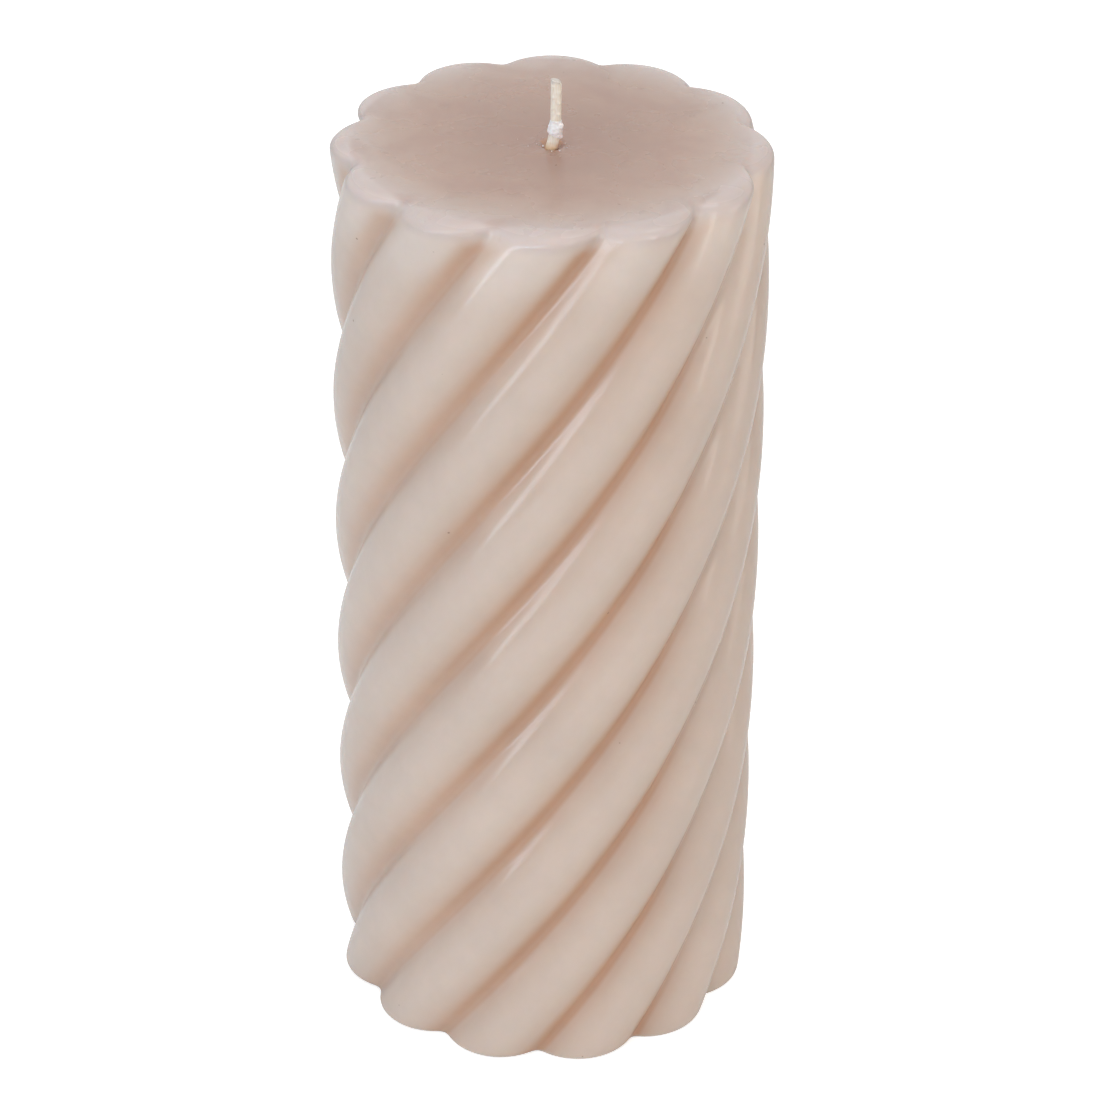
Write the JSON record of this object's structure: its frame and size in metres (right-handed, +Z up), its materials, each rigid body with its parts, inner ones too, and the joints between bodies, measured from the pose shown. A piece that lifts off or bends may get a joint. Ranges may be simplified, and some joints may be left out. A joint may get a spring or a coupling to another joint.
{
  "type": "swirl pillar candle",
  "caption": "Upright pillar candle with rounded lobes twisted in a swirl, a plaited wick standing from its flat top, and a wick sustainer let into its foot.",
  "frame": {"origin": "centre of the flat foot, on the surface that the candle stands on", "axes": "+Z up along the pillar, -Y towards the front, +X to the right"},
  "size_m": [0.0684, 0.0684, 0.1615],
  "materials": {
    "wax": "smooth moulded wax, soft satin gloss, faintly see-through",
    "wick": "plaited cotton, stiff with wax",
    "crust": "crumbly whitened wax",
    "tin": "bright tinned sheet"
  },
  "bodies": {
    "root": {"wax_body": "wax", "wick": "wick", "wick_wax_crust": "crust", "wick_sustainer": "tin"}
  },
  "joints": []
}
